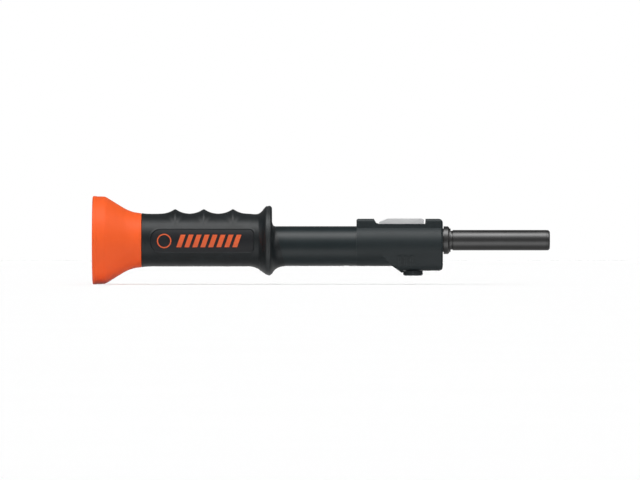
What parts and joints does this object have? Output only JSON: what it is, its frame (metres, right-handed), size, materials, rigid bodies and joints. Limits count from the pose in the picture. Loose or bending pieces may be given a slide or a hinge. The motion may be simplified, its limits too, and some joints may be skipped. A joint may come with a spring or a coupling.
{
  "type": "powder-actuated nail gun",
  "caption": "Hammer-struck powder-actuated nail gun: flared guard, ridged rubber grip, ported housing, sliding barrel with piston, extractor and pull knob.",
  "frame": {"origin": "on the bore axis at the muzzle face", "axes": "+X along the bore towards the muzzle, +Z towards the loading port, +Y to the tool's left side seen from the guard"},
  "size_m": [0.35, 0.0676, 0.0676],
  "materials": {
    "guard_orange": "fine satin grain",
    "grip_rubber": "matt moulded rubber",
    "badge_black": "fine matt",
    "badge_orange": "printed satin",
    "body_black": "semi-gloss baked coating",
    "barrel_steel": "dark turned and polished",
    "bright_steel": "ground",
    "strike_steel": "peened by use",
    "shield_steel": "bright brushed",
    "spring_steel": "oiled",
    "screw_black": "black oxide",
    "knob_black": "black oxide, knurled",
    "bronze": "oiled bronze",
    "buffer_urethane": "satin"
  },
  "bodies": {
    "receiver": {"receiver": "body_black", "handle_tube": "body_black", "handle_pins": "spring_steel", "grip_sleeve": "grip_rubber", "badge_left": "badge_black", "badge_right": "badge_black", "badge_marks_left": "badge_orange", "badge_marks_right": "badge_orange", "strike_guard": "guard_orange", "guard_screws": "screw_black", "rear_bush": "bronze", "stop_bush": "bronze", "spring_washer": "bright_steel", "striker_spring": "spring_steel", "breech_block": "bright_steel", "breech_screw": "screw_black", "nose_bush": "bronze", "drag_ring": "spring_steel", "port_shield": "shield_steel", "shield_screws": "screw_black", "plunger_sleeve": "screw_black", "plunger_spring": "spring_steel"},
    "striker": {"striker_rod": "bright_steel", "strike_cap": "strike_steel", "striker_collar": "bright_steel", "collar_pin": "spring_steel", "firing_pin": "bright_steel", "firing_pin_screw": "screw_black"},
    "barrel": {"barrel": "barrel_steel", "muzzle_tube": "barrel_steel", "piston_buffer": "buffer_urethane", "extractor_pin": "bright_steel"},
    "extractor": {"extractor": "bright_steel"},
    "piston": {"piston": "bright_steel", "piston_rings": "spring_steel"},
    "plunger": {"stop_plunger": "bright_steel", "plunger_knob": "knob_black"}
  },
  "joints": [
    {"name": "striker_slide", "type": "slide", "parent": "receiver", "child": "striker", "axis": [1, 0, 0], "range_m": [0, 0.008], "stiffness_N_per_m": 1200, "springref_m": -0.02, "deforming": ["striker_spring"]},
    {"name": "barrel_slide", "type": "slide", "parent": "receiver", "child": "barrel", "axis": [1, 0, 0], "range_m": [0, 0.034]},
    {"name": "extractor_slide", "type": "slide", "parent": "barrel", "child": "extractor", "axis": [-1, 0, 0], "range_m": [0, 0.005]},
    {"name": "piston_slide", "type": "slide", "parent": "barrel", "child": "piston", "axis": [1, 0, 0], "range_m": [0, 0.0618]},
    {"name": "plunger_pull", "type": "slide", "parent": "receiver", "child": "plunger", "axis": [0, 0, -1], "range_m": [0, 0.003], "stiffness_N_per_m": 600, "springref_m": -0.006, "deforming": ["plunger_spring"]}
  ]
}
